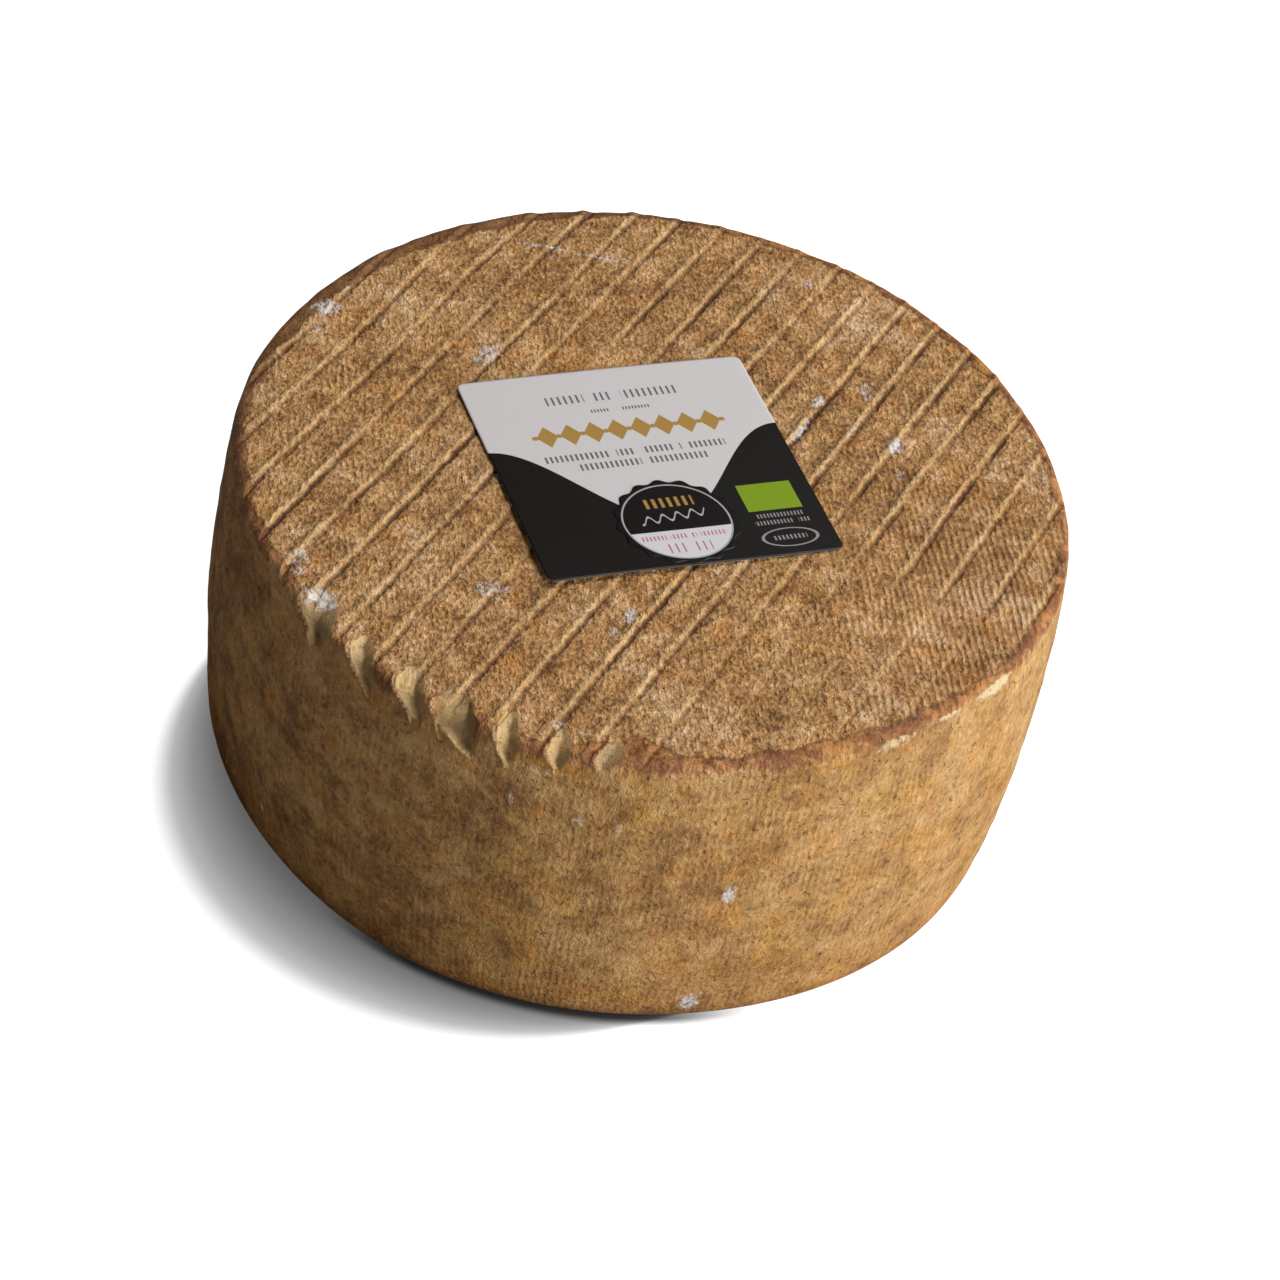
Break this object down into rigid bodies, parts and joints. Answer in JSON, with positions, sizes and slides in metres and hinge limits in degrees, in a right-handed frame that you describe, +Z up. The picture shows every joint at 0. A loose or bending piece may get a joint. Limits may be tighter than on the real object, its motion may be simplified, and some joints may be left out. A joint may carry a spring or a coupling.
{
  "type": "cheese wheel",
  "caption": "Whole matured cheese, a cloth-pressed drum with a rubbed golden-brown rind, pleat flutes on its rim and a square card label with a round seal on top.",
  "frame": {"origin": "middle of the wheel's flat foot, under the middle of its box", "axes": "+Z up, square to the foot it stands on; -Y is the front, the side with the fluted stretch of rim to its left; +X is to the right seen from the front"},
  "size_m": [0.2043, 0.2072, 0.0907],
  "materials": {
    "rind": "matte",
    "label_card": "satin",
    "seal_foil": "satin"
  },
  "bodies": {
    "root": {"cheese_wheel": "rind", "paper_label": "label_card", "seal_sticker": "seal_foil"}
  },
  "joints": []
}
